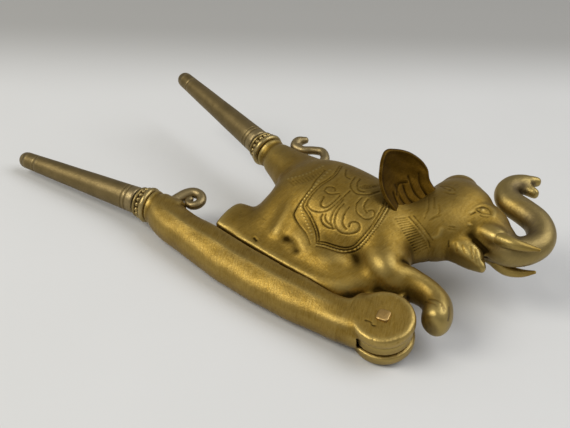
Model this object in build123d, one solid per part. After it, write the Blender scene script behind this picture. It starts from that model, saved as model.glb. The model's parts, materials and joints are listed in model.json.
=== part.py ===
from build123d import *
from math import asin, cos, degrees, pi, radians, sin
import os

# A brass nutcracker in the form of a kneeling elephant, lying on its side.
#
# Two cast levers turn on one rivet. The lower lever is a plain bar that ends in a fork with two round
# cheeks. The upper lever is the elephant: its eye turns in the fork, its front legs reach round the
# cheeks, and its folded hind legs are the upper jaw. A turned handle rod is screwed to each lever over
# a threaded stud, behind a collar of plain and beaded rings.
#
# Design frame: origin on the rivet's axis, X along the lower lever towards the trunk, Y up the
# elephant, Z across it, towards its left side. The last section lays the whole thing down on a table.
# Lengths are in millimetres, angles in degrees.

# ---- pivot
cheek_radius = 11.0          # round cheeks of the fork
fork_half = 7.0              # half the thickness of the fork
eye_half = 2.6               # half the thickness of the elephant lever's eye
side_play = 0.2              # between the eye and each cheek
eye_inset = 0.5              # the eye is this much smaller than the cheeks
rivet_radius = 2.9
rivet_seat_gap = 0.02        # rivet in the cheeks: it doesn't turn there
rivet_fit = 0.05             # rivet in the eye: running fit
rivet_square = 4.4           # filed square head on the left cheek
rivet_square_height = 0.7
rivet_dome_radius = 3.9      # hammered head on the right cheek
rivet_dome_height = 1.0
swing_gap = 0.6              # between what turns and the edge of the cheeks

# ---- jaws
seat_left = (-78.0, 6.9)     # the lower jaw's seat is one arc through these three points
seat_middle = (-47.0, 2.6)
seat_right = (-17.0, 1.3)
closed_gap = 0.3             # left between the jaws when they are shut
rest_opening = 0.5           # how far the jaws are open as it lies
jaw_half = 7.0               # half the width of the folded hind legs

# ---- handles
lower_collar = (-107.7, 5.7)
lower_bearing = 184.7        # direction of the lower handle
upper_collar = (-84.2, 54.7)
upper_bearing = 160.5
handle_length = 66.5         # from the collar's big ring to the rounded tip
handle_root_radius = 5.4
handle_tip_radius = 3.3
incised_depth = 0.35
spigot_radius = 4.7          # the lever's turned end, which the rings sit on
spigot_length = 5.4
stud_radius = 2.4            # threaded stud inside the lever and the handle
stud_grip = 9.0              # depth of the stud in the lever, behind the big ring
stud_reach = 12.0            # depth of the stud in the handle
stud_gap = 0.03
stud_end_gap = 0.5
big_ring_wire = 1.25
bead_radius = 0.95
bead_gap = 0.06              # between two beads
thin_ring_wire = 0.72
ring_fit = 0.02
neck_start = 5.2             # the lever's thick end stops this far behind the big ring
neck_radius = 5.7

# ---- elephant
body_half_width = 16.0
ear_thickness = 2.2
ear_dish_radius = 36.0
ear_dish_depth = 1.4         # how far the ear's middle is sunk
tusk_root_radius = 2.7
tail_wire = 1.9
scroll_wire = 2.1

section_points = 12


def oval(plane, high, wide, shoulder=1.0):
    """A smooth closed wire: an oval, wide along the plane's X and high along its Y. A shoulder under 1
    makes it squarer."""
    points = []
    for step in range(section_points):
        turn = 2 * pi * step / section_points
        across = wide * abs(cos(turn)) ** shoulder * (1 if cos(turn) > 0 else -1)
        up = high * abs(sin(turn)) ** shoulder * (1 if sin(turn) > 0 else -1)
        points.append(plane.from_local_coords(Vector(across, up, 0)))
    return Wire([Edge.make_spline(points, periodic=True)])


def limb(stations, shoulder=1.0):
    """A solid through ovals set square to a path. A station is x, y, z, half height, half width."""
    points = [Vector(*station[:3]) for station in stations]
    wires = []
    for index, (x, y, z, high, wide) in enumerate(stations):
        before = points[max(index - 1, 0)]
        after = points[min(index + 1, len(points) - 1)]
        along = (after - before).normalized()
        across = (Vector(0, 0, 1) - along * along.Z).normalized()
        plane = Plane(origin=points[index], x_dir=across, z_dir=along)
        wires.append(oval(plane, high, wide, shoulder))
    return Solid.make_loft(wires)


def drum(radius, low, high, centre=(0, 0)):
    """A cylinder across the levers, from one Z to another."""
    return Pos(centre[0], centre[1], (low + high) / 2) * Cylinder(radius, high - low)


def rod_frame(collar, bearing):
    """A plane with its origin at a collar's big ring and its Z out along the handle."""
    out = Vector(cos(radians(bearing)), sin(radians(bearing)), 0)
    return Plane(origin=(collar[0], collar[1], 0), x_dir=(0, 0, 1), z_dir=out)


def on_rod(frame, solid):
    return frame.location * solid


def turned(outline):
    """A solid of revolution about Z from radius and height pairs."""
    closed = [(0, outline[0][1])] + outline + [(0, outline[-1][1])]
    return revolve(Plane.XZ * make_face(Polyline(*closed, close=True)), Axis.Z)


def seat_slab(lift, far):
    """A thick slab between the jaws' seat, raised by lift, and a straight line at Y = far."""
    left, middle, right = [(x, y + lift) for x, y in (seat_left, seat_middle, seat_right)]
    outline = [ThreePointArc(left, middle, right),
               Polyline(right, (right[0], far), (left[0], far), left)]
    return extrude(make_face(outline), 1.5 * body_half_width, both=True)


def one(shape):
    """The shape's only solid, or its largest if a cut left crumbs."""
    solids = shape.solids()
    return max(solids, key=lambda solid: solid.volume)


# ---- lower lever and what it carries

def collar_end(frame, radius):
    """The lever's end behind a handle: a neck, a thin flange and the spigot that the rings sit on."""
    flange = spigot_radius + 1.9
    seat = -big_ring_wire - 0.1
    outline = [(radius, -neck_start - 4), (radius, -3.8), (flange, seat - 1.0), (flange, seat),
               (spigot_radius, seat), (spigot_radius, spigot_length)]
    return on_rod(frame, turned(outline))


def stud_bore(frame):
    depth = stud_grip + stud_end_gap
    return on_rod(frame, Pos(0, 0, (spigot_length - depth) / 2 + 0.5)
                  * Cylinder(stud_radius + stud_gap, spigot_length + depth + 1.0))


def lower_lever():
    frame = rod_frame(lower_collar, lower_bearing)
    root = frame.from_local_coords(Vector(0, 0, -neck_start))
    arm = limb([
        (root.X, root.Y, 0, 6.6, 6.5),
        (-96, 2.9, 0, 7.5, 6.9),
        (-80, 0.3, 0, 7.6, fork_half),
        (-60, -3.4, 0, 7.7, fork_half),
        (-40, -4.7, 0, 7.6, fork_half),
        (-25, -4.8, 0, 6.9, fork_half - 0.1),
        (-14, -4.3, 0, 5.9, fork_half - 0.2),
        (-5, -2.6, 0, 7.4, fork_half - 0.4),
    ], shoulder=0.85)
    cheeks = drum(cheek_radius, -fork_half, fork_half)
    cheeks = chamfer(cheeks.edges(), 0.5)
    lever = arm + cheeks + collar_end(frame, neck_radius)
    lever -= seat_slab(0, 60)
    slot_half = eye_half + side_play
    lever -= drum(cheek_radius + 1.6, -slot_half, slot_half)
    lever -= drum(rivet_radius + rivet_seat_gap, -fork_half - 1, fork_half + 1)
    lever -= stud_bore(frame)
    return one(lever)


def pivot_rivet():
    shank = drum(rivet_radius, -fork_half, fork_half)
    square = Pos(0, 0, fork_half + rivet_square_height / 2) * Box(
        rivet_square, rivet_square, rivet_square_height)
    square = fillet(square.edges().filter_by(Axis.Z), 0.8)
    dome_outline = [(rivet_dome_radius, 0), (rivet_dome_radius - 0.6, rivet_dome_height * 0.7),
                    (rivet_dome_radius * 0.4, rivet_dome_height)]
    dome = Pos(0, 0, -fork_half) * Rot(X=180) * turned(dome_outline)
    return one(shank + Rot(Z=12) * square + dome)


def wire_along(points, radii):
    """Round wire of changing thickness along points in the levers' plane."""
    stations = [(x, y, 0, radius, radius) for (x, y), radius in zip(points, radii)]
    return limb(stations)


def lower_scroll():
    """A wire scroll on the lower lever: it leaves the arm, rises over and curls in once."""
    centre = (-94.0, 16.0)
    points = [(-102.0, 9.0), (-100.6, 12.0)]
    radii = [scroll_wire * 0.9, scroll_wire * 1.05]
    for step in range(9):
        turn = radians(165 - step * 45)
        reach = 4.7 - 0.42 * step
        points.append((centre[0] + reach * cos(turn), centre[1] + reach * sin(turn)))
        radii.append(scroll_wire * (1.1 - 0.06 * step))
    return wire_along(points[:9], radii[:9])


# ---- elephant lever and what it carries

def torso():
    frame = rod_frame(upper_collar, upper_bearing)
    trunk_line = [(-67, 40, 0, 8.0, 7.5), (-61, 39.5, 0, 14.6, 12.5), (-51, 38.5, 0, 19.4, 15.4),
                  (-39, 37.5, 0, 20.4, body_half_width), (-27, 36.5, 0, 19.0, 15.4),
                  (-16, 34.5, 0, 16.2, 13.2), (-7, 31.5, 0, 10.5, 9.5), (-3, 30, 0, 5.0, 5.5)]
    barrel = limb(trunk_line)
    root = frame.from_local_coords(Vector(0, 0, -neck_start))
    middle = frame.from_local_coords(Vector(0, 0, -15.0))
    inner = frame.from_local_coords(Vector(0, 0, -27.0))
    socket = limb([(inner.X, inner.Y, 0, 12.5, 11.0), (middle.X, middle.Y, 0, 8.6, 8.4),
                   (root.X, root.Y, 0, 6.9, 6.9)])
    return barrel + socket + collar_end(frame, neck_radius)


def hind_legs():
    """Thigh, knee and shin of both folded hind legs. The sole is the flat left end."""
    shins = limb([(-73.6, 12.9, 0, 8.2, 5.6), (-66, 12.6, 0, 8.6, 6.2), (-52, 10.2, 0, 8.4, jaw_half),
                  (-37, 8.8, 0, 8.8, jaw_half + 1.2), (-25, 9.4, 0, 7.8, jaw_half + 1.0),
                  (-16, 14.0, 0, 5.0, 6.0)], shoulder=0.8)
    thighs = limb([(-55, 36, 0, 11, 13.4), (-58, 24, 0, 9.5, 11.6), (-60, 14, 0, 9.0, 7.6)])
    return shins + thighs


def front_leg():
    """Both front legs in one: from the chest round the cheeks, at a distance from the rivet's axis."""
    rounds = [(112, 10.5, 8.0, 10.0), (91, 10.0, 5.2, 7.0), (73, 10.3, 4.4, 5.6), (55, 10.2, 4.5, 5.2),
              (40, 8.8, 4.7, 5.2), (31, 7.3, 4.2, 4.7), (25, 6.2, 3.0, 3.5)]
    stations = [(-17, 29, 0, 12.0, 12.5)]
    for turn, out, high, wide in rounds:
        reach = cheek_radius + out
        stations.append((reach * cos(radians(turn)), reach * sin(radians(turn)), 0, high, wide))
    return limb(stations)


def eye_and_web():
    """The eye that turns in the fork, and the web that joins it to the legs and the chest."""
    eye_radius = cheek_radius - eye_inset
    web = extrude(make_face(Polyline((-18, 13), (-8, 4), (7, 5), (9, 18), (-4, 24), (-18, 22),
                                     close=True)), eye_half, both=True)
    return drum(eye_radius, -eye_half, eye_half) + web


def neck_plane():
    """Where the head is joined to the body, under the necklace."""
    return Plane(origin=(-10, 38.7, 0), x_dir=(0, 0, 1), z_dir=(0.63, 0.777, 0))


def beyond_neck():
    return neck_plane().location * Pos(0, 0, 60) * Box(120, 120, 120)


def head_mass():
    stations = [(-13, 31, 0, 10.5, 9.6), (-10, 37, 0, 12.4, 10.6), (-5.5, 45, 0, 14.2, 11.6),
                (-2.0, 53, 0, 15.6, 12.0), (-2.0, 61, 0, 14.8, 11.2), (-4.2, 67.5, 0, 11.6, 9.4),
                (-6.0, 72.2, 0, 7.6, 6.4), (-6.4, 74.8, 0, 3.2, 2.8)]
    return limb(stations)


def elephant_body():
    flesh = torso() + hind_legs() + front_leg() + head_mass()
    flesh -= beyond_neck()
    recess_half = fork_half + swing_gap
    flesh -= drum(cheek_radius + swing_gap, -recess_half, recess_half)
    flesh += eye_and_web()
    flesh -= Rot(Z=-rest_opening) * seat_slab(closed_gap, -30)
    flesh -= drum(rivet_radius + rivet_fit, -fork_half, fork_half)
    flesh -= stud_bore(rod_frame(upper_collar, upper_bearing))
    return one(flesh)


def elephant_head():
    """Skull, lower jaw and trunk in one casting, down to the joint under the necklace."""
    jaw = limb([(-3, 46, 0, 7.5, 8.5), (5, 44.5, 0, 5.4, 6.6), (13, 42.2, 0, 3.6, 4.4),
                (19, 39.4, 0, 1.0, 1.4)])
    trunk = limb([(4, 57, 0, 11.5, 9.8), (11, 55.2, 0, 9.0, 8.4), (17.5, 53.0, 0, 6.9, 6.9),
                  (23.5, 52.4, 0, 5.8, 6.0), (28.4, 55.2, 0, 5.4, 5.5), (31.2, 60.4, 0, 5.1, 5.2),
                  (30.8, 66.4, 0, 4.8, 4.8), (27.4, 71.6, 0, 4.5, 4.5), (21.4, 74.2, 0, 4.3, 4.3),
                  (15.4, 75.6, 0, 4.1, 4.2), (11.8, 78.6, 0, 4.0, 4.1), (12.2, 83.0, 0, 3.9, 3.9),
                  (15.4, 86.0, 0, 4.0, 3.5), (19.4, 87.2, 0, 4.4, 2.9)])
    return one((head_mass() & beyond_neck()) + (jaw & beyond_neck()) + trunk)


def left_ear(blockers):
    """A leaf of brass that stands out from the head: a piece of a hollow ball, dished to the front,
    cut to the ear's outline. The outline runs up the ear (first value) and out from the head."""
    leaf_plane = Plane(origin=(-11.5, 51, 7), x_dir=(0.233, 0.972, 0), z_dir=(0.680, -0.163, 0.714))
    outline = Spline((-10, -3), (-11.6, 5), (-11.9, 12), (-10.4, 17), (-6.9, 21.9), (-3.4, 25.0),
                     (-0.8, 25.4), (1.8, 24.3), (5.6, 21.7), (8.8, 18.3), (10.9, 14.0), (11.2, 9.8),
                     (9.4, 6.2), (8.7, 1.5), (8.4, -3.5), periodic=True)
    prism = extrude(make_face(outline), ear_dish_radius / 3, both=True)
    ball = Sphere(ear_dish_radius + ear_thickness / 2) - Sphere(ear_dish_radius - ear_thickness / 2)
    leaf = leaf_plane.location * (prism & Pos(2, 12, ear_dish_radius - ear_dish_depth) * ball)
    for blocker in blockers:
        leaf = leaf - blocker
    return one(leaf)


def left_tusk(blockers):
    stations = [(13, 51.5, 3.6, tusk_root_radius, tusk_root_radius),
                (19, 50.4, 6.2, tusk_root_radius, tusk_root_radius),
                (24.5, 49.8, 7.5, 2.2, 2.2), (29.5, 50.8, 7.2, 1.6, 1.6), (34, 53.0, 6.2, 0.7, 0.7)]
    horn = limb(stations)
    for blocker in blockers:
        horn = horn - blocker
    return one(horn)


def tail_curl(blockers):
    """The tail: wire that stands on the rump, bends back over it and ends in a tuft."""
    points = [(-57.5, 53.5), (-59.6, 58.0), (-60.6, 62.0), (-63.6, 64.6), (-67.6, 63.6), (-71.2, 61.7),
              (-75.0, 62.1), (-75.6, 65.2), (-73.2, 68.0)]
    radii = [tail_wire * share for share in (1.25, 1.15, 1.0, 0.95, 0.92, 0.95, 1.1, 1.15, 0.6)]
    tail = wire_along(points, radii)
    for blocker in blockers:
        tail = tail - blocker
    return one(tail)


# ---- handle and collar, used on both levers

def handle_rod():
    """A turned rod with a rounded tip, a pair of incised lines near its root and one near its tip."""
    start = spigot_length + 0.1
    end = handle_length
    slope = (handle_tip_radius - handle_root_radius) / (end - start)

    def radius_at(height):
        return handle_root_radius + slope * (height - start)

    outline = [(radius_at(start), start)]
    for line in (9.2, 11.0, end - 9.0):
        outline += [(radius_at(line - 0.35), line - 0.35), (radius_at(line) - incised_depth, line),
                    (radius_at(line + 0.35), line + 0.35)]
    for turn in (0, 20, 40, 60, 80):
        outline.append((handle_tip_radius * cos(radians(turn)),
                        end - handle_tip_radius * (1 - sin(radians(turn)))))
    rod = turned(outline)
    hole = spigot_length + stud_reach + stud_end_gap
    rod -= Pos(0, 0, hole / 2) * Cylinder(stud_radius + stud_gap, hole)
    return rod


def handle_stud():
    length = stud_grip + spigot_length + stud_reach
    return Pos(0, 0, length / 2 - stud_grip) * Cylinder(stud_radius, length)


def big_ring():
    return Torus(spigot_radius + ring_fit + big_ring_wire, big_ring_wire)


def bead_height():
    return big_ring_wire + bead_radius + 0.05


def beaded_ring():
    """As many equal beads as go round the spigot, each a solid of its own."""
    pitch_radius = spigot_radius + ring_fit + bead_radius
    count = int(pi / asin((bead_radius + bead_gap / 2) / pitch_radius))
    row = Pos(pitch_radius, 0, bead_height()) * Sphere(bead_radius)
    return Compound([Rot(Z=360 * index / count) * row for index in range(count)])


def thin_ring():
    height = bead_height() + bead_radius + thin_ring_wire + 0.05
    return Pos(0, 0, height) * Torus(spigot_radius + ring_fit + thin_ring_wire, thin_ring_wire)


def handle_set(name, collar, bearing):
    """The handle and collar pieces of one lever, by node name."""
    frame = rod_frame(collar, bearing)
    pieces = {"handle_rod": handle_rod(), "handle_stud": handle_stud(), "collar_ring": big_ring(),
              "collar_beads": beaded_ring(), "ferrule_ring": thin_ring()}
    return {f"{name}_{piece}": on_rod(frame, solid) for piece, solid in pieces.items()}


# ---- assembly

def assembly():
    body = elephant_body()
    head = elephant_head()
    lever = lower_lever()
    ear = left_ear([head, body])
    tusk = left_tusk([head])
    other_ear = one(mirror(ear, about=Plane.XY) - head - body)
    other_tusk = one(mirror(tusk, about=Plane.XY) - head)
    nodes = {"lower_lever": lever, "pivot_rivet": pivot_rivet(),
             "lower_scroll": one(lower_scroll() - lever),
             "elephant_body": body, "elephant_head": head,
             "left_ear": ear, "right_ear": other_ear,
             "left_tusk": tusk, "right_tusk": other_tusk,
             "tail_curl": tail_curl([body])}
    nodes.update(handle_set("lower", lower_collar, lower_bearing))
    nodes.update(handle_set("upper", upper_collar, upper_bearing))
    return nodes


def table_plane():
    """The plane of the table in the design frame. The nutcracker lies on three points: the corner of
    the right ear, the rim of the right cheek and the underside of the lower lever's arm."""
    ear_corner = Vector(-27.84, 51.28, -26.35)
    cheek_rim = Vector(-0.8, -cheek_radius + 0.53, -fork_half)
    under_arm = Vector(-53.7, -7.55, -0.935 * fork_half)
    up = (cheek_rim - ear_corner).cross(under_arm - ear_corner).normalized()
    if up.Z < 0:
        up = up * -1
    along = (Vector(1, 0, 0) - up * up.X).normalized()
    return Plane(origin=cheek_rim, x_dir=along, z_dir=up)


def main():
    nodes = assembly()
    lie = table_plane().location.inverse()
    laid = {name: lie * shape for name, shape in nodes.items()}
    box = Compound(children=[Compound(label=name, children=list(shape.solids()))
                             for name, shape in laid.items()]).bounding_box()
    centre = Pos(-(box.min.X + box.max.X) / 2, -(box.min.Y + box.max.Y) / 2, -box.min.Z)
    os.makedirs("parts", exist_ok=True)
    for name, shape in laid.items():
        export_step(centre * shape, f"parts/{name}.step")
    pivot = (centre * lie * Location((0, 0, 0))).position
    tip = (centre * lie * Location((0, 0, -1))).position
    axis = (tip - pivot).normalized()
    print("box", box.size)
    print("pivot", [round(value, 5) for value in pivot])
    print("opening axis", [round(value, 7) for value in axis])
    print("tilt of the levers' plane", degrees(asin(max(abs(axis.X), abs(axis.Y)))), "nodes", len(laid))


main()
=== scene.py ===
# %% [markdown]
# # A cast brass elephant nutcracker, lying on its side
#
# Two levers turn on one rivet. The lower lever is a bar with a forked round end, the upper lever is an
# elephant that kneels on it, and each ends in a turned handle behind a collar of rings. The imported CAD
# model is the frame: it says where everything is and how it moves. This lesson makes what the eye
# sees: the sculpted masses, the engraving, the worn brass, and the light.

# %% Load the frame
import json

import bmesh
import bpy
import numpy as np
from mathutils import Matrix, Vector


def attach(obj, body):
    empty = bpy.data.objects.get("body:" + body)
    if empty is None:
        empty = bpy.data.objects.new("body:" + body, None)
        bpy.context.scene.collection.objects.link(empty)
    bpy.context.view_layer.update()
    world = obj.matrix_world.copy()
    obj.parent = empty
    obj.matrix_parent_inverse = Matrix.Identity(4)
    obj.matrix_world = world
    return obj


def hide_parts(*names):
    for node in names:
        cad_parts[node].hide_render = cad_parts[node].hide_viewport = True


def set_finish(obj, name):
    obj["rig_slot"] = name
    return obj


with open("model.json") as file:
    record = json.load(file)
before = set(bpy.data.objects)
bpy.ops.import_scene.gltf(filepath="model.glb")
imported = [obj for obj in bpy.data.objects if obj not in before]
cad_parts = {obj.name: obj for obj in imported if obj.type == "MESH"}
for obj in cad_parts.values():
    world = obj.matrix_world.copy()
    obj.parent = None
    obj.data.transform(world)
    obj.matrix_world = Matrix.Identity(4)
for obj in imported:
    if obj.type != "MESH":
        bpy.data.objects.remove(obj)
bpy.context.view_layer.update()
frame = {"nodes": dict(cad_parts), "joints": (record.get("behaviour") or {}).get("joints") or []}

# %% [markdown]
# ## One drawing frame for every shape
#
# The nutcracker is leaning on its ear, so its levers' plane is tilted and the table's axes are poor
# axes to draw it in. The rivet gives better ones: its place is the origin, X runs along the lower
# lever towards the trunk, Y up the elephant, and Z across it. Shapes below are in millimetres in that
# drawing frame, and one matrix lays them down on the table. The joint in the record holds the rivet's
# place and direction, so nothing is measured twice.

# %% Drawing frame to table
rivet = frame["joints"][0]
rivet_place = np.array(rivet["pos_m"])
across = -np.array(rivet["axis"])
along = np.cross([0.0, 1.0, 0.0], across)
along /= np.linalg.norm(along)
AXES = np.array([along, np.cross(across, along), across])


def laid(points):
    """Drawing-frame points in millimetres, as table points in metres: turned by the axes, moved to
    the rivet."""
    return rivet_place + np.asarray(points, float) @ AXES / 1000


print("tilt of the levers' plane:", round(float(np.degrees(np.arccos(across[2]))), 1), "degrees")

# %% [markdown]
# ## Tubes: a profile carried along a path
#
# Limbs, trunk, tusks and wire are all the same thing to a modeller in wax: a roll of changing
# thickness, bent to a line. So the first helper carries an oval along a smooth curve. A few stations
# give the centre and the two half widths, a cubic through them gives the rest, and each end is closed
# by a rounded cap that shrinks to a point. Welding the points of a cap closes the pole.

# %% Curves and tubes


def curve(stations, count):
    """A Catmull-Rom cubic through the stations' rows: between two of them a point is a cubic blend of
    the two and of their slopes, which are half the difference of their neighbours."""
    rows = np.asarray(stations, float)
    padded = np.vstack([2 * rows[0] - rows[1], rows, 2 * rows[-1] - rows[-2]])
    place = np.linspace(0, len(rows) - 1, count)
    index = np.minimum(place.astype(int), len(rows) - 2)
    t = (place - index)[:, None]
    before, start, end, after = (padded[index + step] for step in range(4))
    return 0.5 * (2 * start + (end - before) * t + (2 * before - 5 * start + 4 * end - after) * t ** 2
                  + (3 * (start - end) + after - before) * t ** 3)


def tube(stations, sides=36, rings=None, squareness=1.0, cap=0.8):
    """An oval carried along a curve. A station is x, y, z, half height, half width. Every point is the
    centre, plus the half height times a sine along the up direction, plus the half width times a
    cosine along the side. A squareness under 1 makes the oval boxy. The cap's rings shrink by a
    cosine while they move out by a sine times cap times the smaller half width."""
    rings = rings or 10 * len(stations)
    line = curve(stations, rings)
    tangent = np.gradient(line[:, :3], axis=0)
    tangent /= np.linalg.norm(tangent, axis=1, keepdims=True)
    side = np.array([0.0, 0.0, 1.0]) - tangent * tangent[:, 2:3]
    side /= np.linalg.norm(side, axis=1, keepdims=True)
    up = np.cross(tangent, side)
    swell = np.radians([90, 72, 54, 36, 18])
    reach = np.minimum(line[:, 3], line[:, 4])
    head = -cap * reach[0] * np.sin(swell)
    foot = cap * reach[-1] * np.sin(swell[::-1])
    shrink = np.concatenate([np.cos(swell), np.ones(rings), np.cos(swell[::-1])])
    which = np.concatenate([np.zeros(5, int), np.arange(rings), np.full(5, rings - 1)])
    push = np.concatenate([head, np.zeros(rings), foot])
    angle = np.linspace(0, 2 * np.pi, sides, endpoint=False)
    wide = np.sign(np.cos(angle)) * np.abs(np.cos(angle)) ** squareness
    high = np.sign(np.sin(angle)) * np.abs(np.sin(angle)) ** squareness
    centre = line[which, :3] + tangent[which] * push[:, None]
    return (centre[:, None]
            + (side[which] * (line[which, 4] * shrink)[:, None])[:, None] * wide[None, :, None]
            + (up[which] * (line[which, 3] * shrink)[:, None])[:, None] * high[None, :, None])


def turned(outline, frame_place, sides=72):
    """A surface of revolution: the outline's radius times cosine and sine, and its height along the
    axis. frame_place is the origin, then the axis' direction."""
    origin, direction = (np.asarray(value, float) for value in frame_place)
    direction = direction / np.linalg.norm(direction)
    side = np.cross(direction, [0.0, 0.0, 1.0]) if abs(direction[2]) < 0.9 else np.array([1.0, 0, 0])
    side /= np.linalg.norm(side)
    other = np.cross(direction, side)
    angle = np.linspace(0, 2 * np.pi, sides, endpoint=False)
    rows = np.asarray(outline, float)
    ring = np.cos(angle)[:, None] * side + np.sin(angle)[:, None] * other
    return origin + rows[:, 0, None, None] * ring[None] + rows[:, 1, None, None] * direction


def mirrored(grid):
    """The same surface on the elephant's other side, with its rows reversed so that it still faces
    out."""
    return grid[::-1] * np.array([1.0, 1.0, -1.0])


print("a test tube has", tube([(0, 0, 0, 2, 2), (5, 0, 0, 1, 1)]).shape[:2], "rings and sides")

# %% [markdown]
# ## From grids to one cast skin
#
# A casting has no seams between its limbs. Blender's voxel Remesh is made for this: it fills the
# overlapping rolls with small cells and wraps them in one even skin. A few rounds of neighbour
# averaging then soften the creases, as a thumb does in wax. Working on arrays keeps the mesh under
# control: every later step is a move of vertices along their normals.

# %% Skins


def grid_mesh(name, grids):
    """One mesh of several grids whose rows are closed rings. A quad joins each point to its
    neighbours in the ring and in the next row, and points that fall together are welded."""
    points, faces, start = [], [], 0
    for grid in grids:
        rows, columns = grid.shape[:2]
        index = start + np.arange(rows * columns).reshape(rows, columns)
        turn = np.roll(index, -1, axis=1)
        faces.append(np.stack([index[:-1], turn[:-1], turn[1:], index[1:]], axis=-1).reshape(-1, 4))
        points.append(grid.reshape(-1, 3))
        start += rows * columns
    mesh = bpy.data.meshes.new(name)
    mesh.from_pydata(np.concatenate(points), [], np.concatenate(faces))
    work = bmesh.new()
    work.from_mesh(mesh)
    bmesh.ops.remove_doubles(work, verts=work.verts, dist=1e-5)
    bmesh.ops.dissolve_degenerate(work, edges=work.edges, dist=1e-6)
    bmesh.ops.recalc_face_normals(work, faces=work.faces)
    work.to_mesh(mesh)
    work.free()
    return mesh


def modified(mesh, kind, **settings):
    """The mesh after one modifier. The old mesh is dropped."""
    holder = bpy.data.objects.new("work", mesh)
    bpy.context.scene.collection.objects.link(holder)
    modifier = holder.modifiers.new("work", kind)
    for key, value in settings.items():
        setattr(modifier, key, value)
    bpy.context.view_layer.update()
    depsgraph = bpy.context.evaluated_depsgraph_get()
    result = bpy.data.meshes.new_from_object(holder.evaluated_get(depsgraph))
    bpy.data.objects.remove(holder)
    bpy.data.meshes.remove(mesh)
    return result


def cast(name, grids, cell):
    """One skin round all the grids, with cells of the given size in millimetres."""
    return modified(grid_mesh(name, grids), "REMESH", mode="VOXEL", voxel_size=cell)


def combined(mesh, grids, operation="DIFFERENCE"):
    """The mesh without the space inside the grids, or together with it."""
    tool = bpy.data.objects.new("tool", grid_mesh("tool", grids))
    bpy.context.scene.collection.objects.link(tool)
    result = modified(mesh, "BOOLEAN", operation=operation, object=tool, solver="MANIFOLD")
    bpy.data.objects.remove(tool)
    return result


def read(mesh):
    """The mesh's points, edges and vertex normals as arrays."""
    points = np.empty(len(mesh.vertices) * 3)
    edges = np.empty(len(mesh.edges) * 2, int)
    normals = np.empty(len(mesh.vertices) * 3)
    mesh.vertices.foreach_get("co", points)
    mesh.edges.foreach_get("vertices", edges)
    mesh.vertex_normals.foreach_get("vector", normals)
    return points.reshape(-1, 3), edges.reshape(-1, 2), normals.reshape(-1, 3)


def write(mesh, points):
    mesh.vertices.foreach_set("co", np.ascontiguousarray(points, float).ravel())
    mesh.update()


def averaged(values, edges, rounds=1, share=0.5):
    """Each value moved the given share of the way to the mean of its neighbours along the edges,
    round after round."""
    values = values.copy()
    count = len(values)
    ends = np.concatenate([edges[:, 0], edges[:, 1]])
    starts = np.concatenate([edges[:, 1], edges[:, 0]])
    degree = np.maximum(np.bincount(ends, minlength=count), 1)
    for _ in range(rounds):
        mean = np.stack([np.bincount(ends, weights=column[starts], minlength=count) / degree
                         for column in values.reshape(count, -1).T], axis=-1)
        values += share * (mean.reshape(values.shape) - values)
    return values


def softened(mesh, rounds, share=0.5):
    """Share is one number, or a function that gives each point's own."""
    points, edges, _ = read(mesh)
    if callable(share):
        share = share(points)[:, None]
    write(mesh, averaged(points, edges, rounds, share))
    return mesh


# %% [markdown]
# ## What wear does to a casting, and painted shade in its folds
#
# Handling polishes what stands out, and dirt and patina stay in what is hollow, and the hollows also
# get painted shade, most in the broad folds between limbs. Both can be read off the finished skin:
# where a vertex lies below the mean of its neighbours the skin is hollow, and where it lies above it is
# proud. Two sizes of neighbourhood are mixed, one for scratches and engraving and one for the folds
# between limbs. They are stored as the attributes "hollow" and "rubbed", which the brass material
# reads, so the wear and the painted shade belong to the piece and not to the camera.

# %% Wear and painted shade attributes, and pieces


def relief(mesh, fine=0.05, broad=0.35, rounds=40):
    """How hollow, from -1 to 1, each vertex is: the step from it to its neighbours' mean, along its
    normal, for the fine size, and the step to a far smoother skin for the broad one."""
    points, edges, normals = read(mesh)
    near = np.einsum("ij,ij->i", averaged(points, edges, 2, 1.0) - points, normals) / fine
    far = np.einsum("ij,ij->i", averaged(points, edges, rounds, 1.0) - points, normals) / broad
    return np.clip(averaged(0.45 * near + 0.75 * far, edges, 1), -1, 1)


def mark(mesh, name, values):
    attribute = mesh.attributes.get(name) or mesh.attributes.new(name, "FLOAT", "POINT")
    attribute.data.foreach_set("value", np.ascontiguousarray(values, np.float32))


def mark_wear(mesh, dirt_and_shade=0.0, **relief_settings):
    # The hollowness darkens the colour as dirt and patina, and as painted shade in the folds.
    hollow = np.clip(relief(mesh, **relief_settings) + dirt_and_shade, -1, 1)
    mark(mesh, "hollow", np.maximum(hollow, 0))
    mark(mesh, "rubbed", np.maximum(-hollow, 0))


def add_piece(name, mesh, body, slot, stands_for=(), sharp=None):
    """Lays the drawing-frame mesh on the table and hands it to its body. The CAD nodes that it stands
    for are then hidden."""
    points, _, _ = read(mesh)
    write(mesh, laid(points))
    mesh.name = name
    mesh.polygons.foreach_set("use_smooth", np.ones(len(mesh.polygons), bool))
    if sharp:
        mesh.set_sharp_from_angle(angle=np.radians(sharp))
    piece = bpy.data.objects.new(name, mesh)
    bpy.context.scene.collection.objects.link(piece)
    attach(piece, body)
    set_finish(piece, slot)
    if stands_for:
        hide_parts(*stands_for)
    print(f"{name}: {len(mesh.vertices)} vertices")
    return piece


LOWER = "lower_lever_body"
UPPER = "elephant_lever_body"

# %% [markdown]
# ## Collar ends and handle lines
#
# Each lever ends in a turned neck, a cove and a thin flange, and the handle starts there. The handle's
# line is a point and a bearing in the levers' plane, so one function places a turned outline on
# either line.

# %% Handle lines
handle_lines = {"lower": ((-107.7, 5.7), 184.7), "upper": ((-84.2, 54.7), 160.5)}


def handle_frame(which):
    """The origin at the collar's big ring, and the direction out along the handle."""
    (x, y), bearing = handle_lines[which]
    out = np.array([np.cos(np.radians(bearing)), np.sin(np.radians(bearing)), 0.0])
    return np.array([x, y, 0.0]), out


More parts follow.
